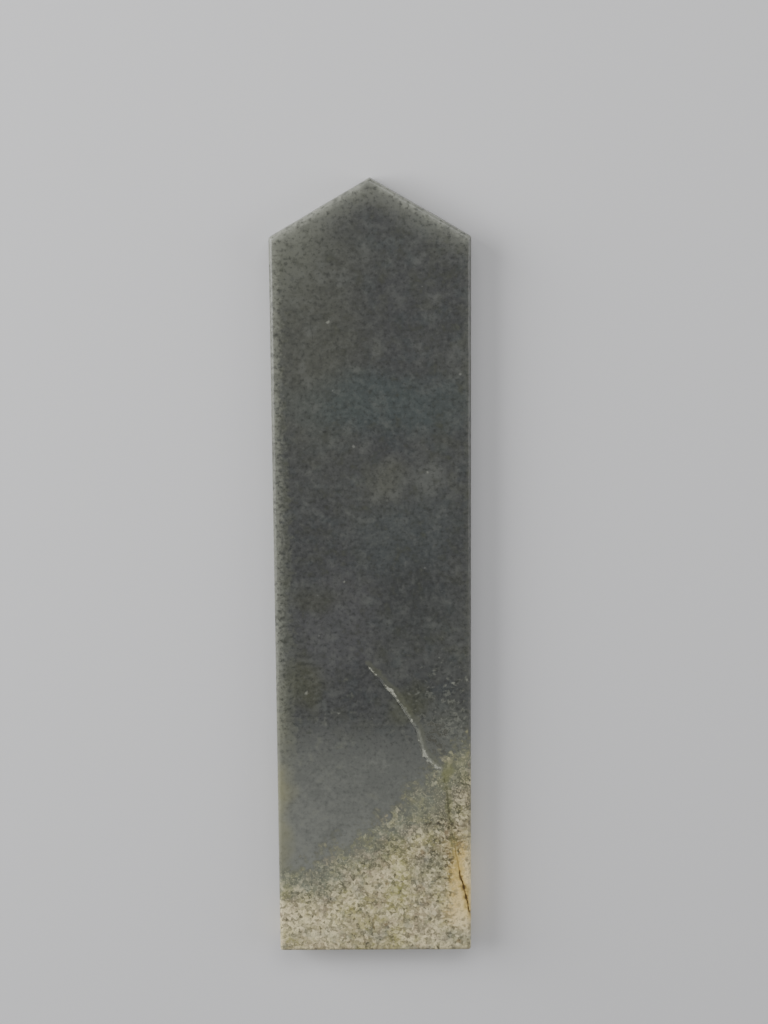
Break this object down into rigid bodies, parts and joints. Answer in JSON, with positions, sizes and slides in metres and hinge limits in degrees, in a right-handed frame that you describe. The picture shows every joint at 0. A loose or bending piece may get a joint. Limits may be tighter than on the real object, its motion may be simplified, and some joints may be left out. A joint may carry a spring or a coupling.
{
  "type": "jade gui tablet",
  "caption": "Flat pointed ceremonial tablet of mottled grey-green nephrite, with parallel sides, a gabled head, a square butt and natural cracks near the butt.",
  "frame": {"origin": "on the flat back face, under the middle of the length and width, where the tablet lies", "axes": "+Y along the length, from the butt to the point; +Z out of the polished front face, up as it lies; +X to the right of the front face with the point away from the viewer"},
  "size_m": [0.05, 0.2, 0.009],
  "materials": {
    "nephrite": "ground and polished nephrite with a soft waxy sheen: grey-green with dark flecks, turning to a beige and ochre mottled crust across the butt"
  },
  "bodies": {
    "root": {"jade_tablet": "nephrite"}
  },
  "joints": []
}
